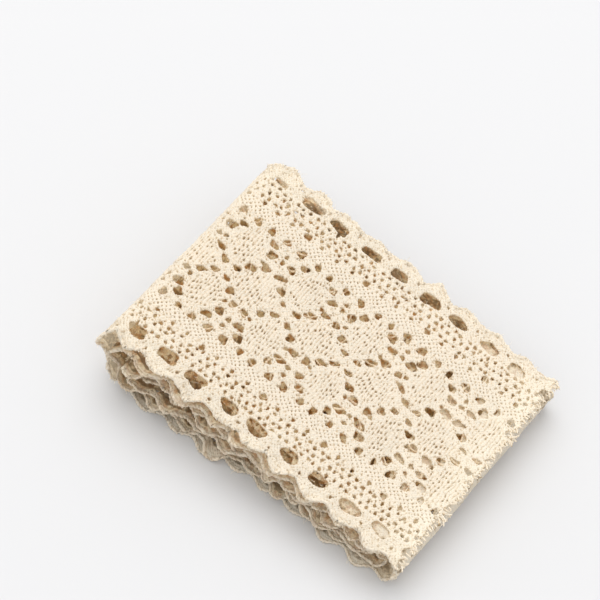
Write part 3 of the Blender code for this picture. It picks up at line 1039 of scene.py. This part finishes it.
# Thread ends at the outer cut: ranges, or a mean and a spread, in shares of their reach
# for headings and bends
FRAY_SPACING = 1.3 * MM
FRAY_MARGIN = 2.2 * MM
FRAY_LENGTHS = (0.0 * MM, 0.6 * MM)
FRAY_ROOTS = (0.8, 1.8)
FRAY_HEIGHTS = (-0.2, 0.3)
FRAY_ASIDE = (0.0, 0.22)
FRAY_UP = (0.15, 0.15)
FRAY_BEND_ASIDE = (0.0, 0.45)
FRAY_BEND_UP = (-0.15, 0.2)
FRAY_RADIUS = 0.37 * MM
FRAY_THICKNESS = (0.6, 1.1)
FRAY_TAPER = (0.8, 1.0, 1.0, 0.9, 0.6)
FRAY_LIGHT = 1.1

# Tufts of longer thread ends there: place across the band and reach
TUFTS = ((-43.0 * MM, 1.5 * MM), (-36.5 * MM, 0.9 * MM), (-20.5 * MM, 2.9 * MM), (-11.0 * MM, 1.0 * MM),
         (4.0 * MM, 0.9 * MM), (16.0 * MM, 2.0 * MM), (29.0 * MM, 0.9 * MM), (42.5 * MM, 1.2 * MM))
TUFT_THREADS = 6
TUFT_BREADTH = 1.2 * MM
TUFT_SHARES = (0.4, 1.0)
TUFT_MARGIN = 1.8 * MM


def build_frays(cotton):
    """Loose thread ends along the outer cut, longer in tufts."""
    chance = np.random.default_rng(SEED + 13)
    starts = list(np.arange(-HALF_WIDTH + FRAY_MARGIN, HALF_WIDTH - FRAY_MARGIN, FRAY_SPACING))
    reaches = list(chance.uniform(*FRAY_LENGTHS, len(starts)))
    for place, reach in TUFTS:
        starts += list(place + chance.normal(0.0, TUFT_BREADTH / 2.0, TUFT_THREADS))
        reaches += list(reach * chance.uniform(*TUFT_SHARES, TUFT_THREADS))
    y = np.clip(np.array(starts), -HALF_WIDTH + TUFT_MARGIN, HALF_WIDTH - TUFT_MARGIN)
    count = len(y)
    back = chance.uniform(*FRAY_ROOTS, count) * MM
    root = place_on_folds(back, y, chance.uniform(*FRAY_HEIGHTS, count) * MM)
    aside = chance.normal(*FRAY_ASIDE, count)
    heading = np.stack([np.ones(count), aside, chance.normal(*FRAY_UP, count)], axis=-1)
    aside = chance.normal(*FRAY_BEND_ASIDE, count)
    bend = np.stack([0.0 * y, aside, chance.normal(*FRAY_BEND_UP, count)], axis=-1)
    radius = FRAY_RADIUS * chance.uniform(*FRAY_THICKNESS, count)
    reach = np.array(reaches) + back
    strands("cut_end_threads", root, heading, bend, reach, radius, FRAY_TAPER, FRAY_LIGHT, cotton)


# Fine loose fibres: pairs of values are for those at the edges and those on top
FUZZ_FIBRES = 1500
FUZZ_RADIUS = 0.055 * MM
FUZZ_THICKNESS = (0.7, 1.2)
FUZZ_LENGTHS = (0.7 * MM, 2.0 * MM)
FUZZ_TAPER = (1.0, 1.0, 0.8, 0.5)
FIBRE_LIGHT = 0.95
FUZZ_INSET = 0.2 * MM
FUZZ_OFF = (0.0, 0.3 * MM)
FUZZ_UP = (0.3, 0.55)
FUZZ_SHARES = (1.0, 0.8)
FUZZ_ALONG = 0.8
FUZZ_ASIDE = 0.7
FUZZ_BEND = 0.4
FUZZ_FALL = 0.3


def build_fuzz(cotton):
    """Fine loose fibres, half of them along the edges and half on top of the bundle."""
    chance = np.random.default_rng(SEED + 17)
    count = FUZZ_FIBRES
    side = chance.choice((-1.0, 1.0), count)
    at_edge = np.arange(count) % 2 == 0
    anywhere = chance.uniform(0.0, FLAT_LENGTH, count)
    s = np.where(at_edge, anywhere, chance.uniform(0.0, TOP_END, count))
    edge = half_width_at(s, side) - FUZZ_INSET
    y = side * np.where(at_edge, edge, edge * chance.uniform(0.0, 1.0, count))
    root = place_on_folds(s, y, np.where(at_edge, *FUZZ_OFF))
    outward = np.where(at_edge, side, chance.normal(0.0, FUZZ_ASIDE, count))
    upward = np.where(at_edge, *FUZZ_UP) * np.abs(chance.normal(0.0, 1.0, count))
    heading = np.stack([chance.normal(0.0, FUZZ_ALONG, count), outward, upward], axis=-1)
    bend = chance.normal(0.0, FUZZ_BEND, (count, 3)) - np.array((0.0, 0.0, FUZZ_FALL))
    reach = chance.uniform(*FUZZ_LENGTHS, count) * np.where(at_edge, *FUZZ_SHARES)
    radius = FUZZ_RADIUS * chance.uniform(*FUZZ_THICKNESS, count)
    strands("loose_fibres", root, heading, bend, reach, radius, FUZZ_TAPER, FIBRE_LIGHT, cotton)


# Threads across gaps: tried twice in each gap that is oval and long enough
BRIDGE_TRIES = 2
BRIDGED = 0.20
BRIDGE_SMALLEST = 1.15 * MM
BRIDGE_OVAL = 2.5
BRIDGE_START = 2.0 * MM
BRIDGE_POINTS = 6
BRIDGE_SIDES = 6
BRIDGE_RADIUS = 0.40 * MM
BRIDGE_THICKNESS = (0.6, 1.2)
BRIDGE_REACH = 1.15
BRIDGE_SHIFT = 0.6
BRIDGE_SAG = 1.0 * MM
BRIDGE_SAGS = (0.3, 1.5)
# Painted shade: threads across gaps are painted darker, with part of the painted shade of cover
BRIDGE_PAINTED_LIGHT = 0.62
BRIDGE_COVER_SHADE = 0.5


def build_bridges(cotton):
    """Single threads across some of the larger gaps of the top run."""
    chance = np.random.default_rng(SEED + 18)
    paths, flats = [], []
    way = np.linspace(-1.0, 1.0, BRIDGE_POINTS)
    for s, y, half_length, half_width, tilt, roundness, *rest in GAPS:
        large = half_length > BRIDGE_SMALLEST and roundness < BRIDGE_OVAL
        if not (BRIDGE_START < s < TOP_END and large):
            continue
        for thread in range(BRIDGE_TRIES):
            if chance.random() > BRIDGED:
                continue
            angle = chance.uniform(0.0, math.pi)
            reach = BRIDGE_REACH / math.hypot(math.cos(angle) / half_length, math.sin(angle) / half_width)
            shift = chance.uniform(-BRIDGE_SHIFT, BRIDGE_SHIFT) * half_width
            along = way * reach * math.cos(angle) - shift * math.sin(angle)
            across = way * reach * math.sin(angle) + shift * math.cos(angle)
            place_s = s + along * math.cos(tilt) - across * math.sin(tilt)
            place_y = y + along * math.sin(tilt) + across * math.cos(tilt)
            off = -BRIDGE_SAG * (1.0 - way ** 2) * chance.uniform(*BRIDGE_SAGS)
            paths.append(place_on_folds(place_s, place_y, off))
            flats.append(np.stack([place_s, place_y, 0.0 * place_s], axis=-1))
    radii = BRIDGE_RADIUS * chance.uniform(*BRIDGE_THICKNESS, (len(paths), 1)) * np.ones(BRIDGE_POINTS)
    tubes("gap_threads", np.array(paths), radii, BRIDGE_SIDES, np.array(flats), BRIDGE_PAINTED_LIGHT, cotton,
          painted_cover_shade=BRIDGE_COVER_SHADE)


cotton = cotton_material("ecru_cotton")
build_runs(cotton)
build_cords(cotton)
build_hems(cotton)
build_frays(cotton)
build_fuzz(cotton)
build_bridges(cotton)


# Stage, light and camera

FLOOR_HALF = 3.0
FLOOR_DROP = 0.2 * MM
FLOOR_COLOUR = (0.656, 0.656, 0.662)
FLOOR_ROUGHNESS = 0.8


def build_stage():
    """A pale floor, far wider than the view and just under the bundle."""
    corners = [(x * FLOOR_HALF, y * FLOOR_HALF, 0.0) for x, y in ((-1, -1), (1, -1), (1, 1), (-1, 1))]
    mesh = bpy.data.meshes.new("floor")
    mesh.from_pydata(corners, [], [(0, 1, 2, 3)])
    mesh.materials.append(plain_material("pale_floor", FLOOR_COLOUR, FLOOR_ROUGHNESS))
    floor = bpy.data.objects.new("floor", mesh)
    floor.location.z = -FLOOR_DROP
    bpy.context.collection.objects.link(floor)


KEY_PLACE = (-0.93, 1.03, 2.85)
KEY_SIZE = 2.6
KEY_POWER = 58.0
HORIZON_LIGHT = 0.94
OVERHEAD_LIGHT = 0.975


def add_light(name, place, target, size, power):
    """A square soft light at place that faces target."""
    lamp = bpy.data.lights.new(name, "AREA")
    lamp.size = size
    lamp.energy = power
    light = bpy.data.objects.new(name, lamp)
    light.location = place
    light.rotation_euler = (Vector(target) - Vector(place)).to_track_quat("-Z", "Y").to_euler()
    bpy.context.collection.objects.link(light)


def build_surround():
    """An even pale surround, brighter overhead than at the horizon."""
    world = bpy.data.worlds.new("surround")
    world.use_nodes = True
    nodes, links = world.node_tree.nodes, world.node_tree.links
    direction = nodes.new("ShaderNodeTexCoord")
    parts = nodes.new("ShaderNodeSeparateXYZ")
    strength = nodes.new("ShaderNodeMapRange")
    strength.inputs["To Min"].default_value = HORIZON_LIGHT
    strength.inputs["To Max"].default_value = OVERHEAD_LIGHT
    links.new(direction.outputs["Generated"], parts.inputs["Vector"])
    links.new(parts.outputs["Z"], strength.inputs["Value"])
    links.new(strength.outputs["Result"], nodes["Background"].inputs["Strength"])
    nodes["Background"].inputs["Color"].default_value = (1.0, 1.0, 1.0, 1.0)
    bpy.context.scene.world = world


def build_lights():
    """A large soft lamp overhead, towards the top of the picture, and the pale surround."""
    add_light("key", KEY_PLACE, (0.0, 0.0, 0.0), KEY_SIZE, KEY_POWER)
    build_surround()
    bpy.context.scene.view_settings.view_transform = "Standard"


# The camera's place and axes, in beading pitches from the first slot of the near row and
# along the top of the bundle, across it and up from it, as found from the photograph
FACE_START = (-51.7 * MM, -38.1 * MM)
CAMERA_PLACE = (13.833, -32.956, 67.978)
CAMERA_RIGHT = (0.7706, 0.6058, 0.1980)
CAMERA_DOWN = (0.6206, -0.6426, -0.4493)
CAMERA_LENS = 180.0
SENSOR = 36.0


def build_camera():
    """The camera at the photograph's angle to the top of the bundle."""
    top = RUNS[0].level * LEVEL_PITCH
    slope = math.atan(LEFT_END_LIFT * top / BUNDLE_HALF_LENGTH)
    height = top * (1.0 - LEFT_END_LIFT * FACE_START[0] / BUNDLE_HALF_LENGTH) + LACE_THICKNESS
    face = Matrix.Translation((*FACE_START, height)) @ Matrix.Rotation(slope, 4, "Y")
    right = Vector(CAMERA_RIGHT).normalized()
    up = -Vector(CAMERA_DOWN)
    up = (up - up.dot(right) * right).normalized()
    turn = Matrix((right, up, right.cross(up))).transposed().to_4x4()
    data = bpy.data.cameras.new("camera")
    data.lens = CAMERA_LENS
    data.sensor_width = SENSOR
    camera = bpy.data.objects.new("camera", data)
    camera.matrix_world = face @ Matrix.Translation(Vector(CAMERA_PLACE) * BEADING_PITCH) @ turn
    bpy.context.collection.objects.link(camera)
    bpy.context.scene.camera = camera


build_stage()
build_lights()
build_camera()
